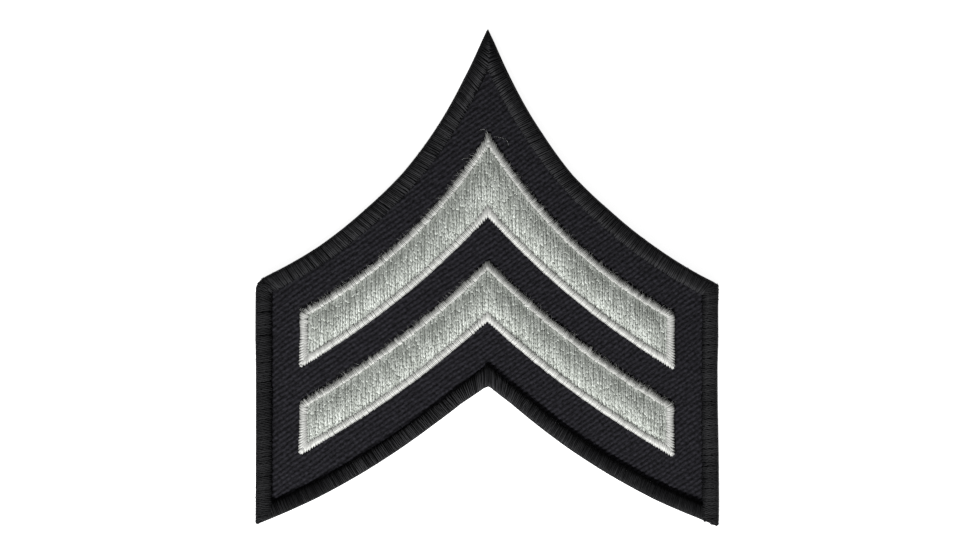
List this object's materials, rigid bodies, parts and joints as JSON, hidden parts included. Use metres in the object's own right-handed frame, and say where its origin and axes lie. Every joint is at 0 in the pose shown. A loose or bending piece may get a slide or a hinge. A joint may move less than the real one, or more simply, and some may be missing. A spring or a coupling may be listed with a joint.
{
  "type": "rank chevron patch",
  "caption": "Embroidered arrowhead sew-on patch: black twill ground, thick overlocked border and raised silver-grey chevron bars that show rank on a sleeve.",
  "frame": {"origin": "on the back plane of the patch, under the middle of its box", "axes": "+Z out through the embroidered face, +Y towards the peak, +X to the right seen from the front"},
  "size_m": [0.0762, 0.0816, 0.0022],
  "materials": {
    "black_twill": "black cotton-blend twill with diagonal ribs, matt",
    "black_border_thread": "black overlock thread laid side by side, slight sheen",
    "silver_fill_thread": "sage silver-grey rayon thread in short fill stitches, soft sheen",
    "silver_satin_thread": "off-white silver rayon thread in satin stitch, soft sheen"
  },
  "bodies": {
    "root": {"twill_ground": "black_twill", "edge_border": "black_border_thread", "upper_chevron_fill": "silver_fill_thread", "upper_chevron_outline": "silver_satin_thread", "lower_chevron_fill": "silver_fill_thread", "lower_chevron_outline": "silver_satin_thread"}
  },
  "joints": []
}
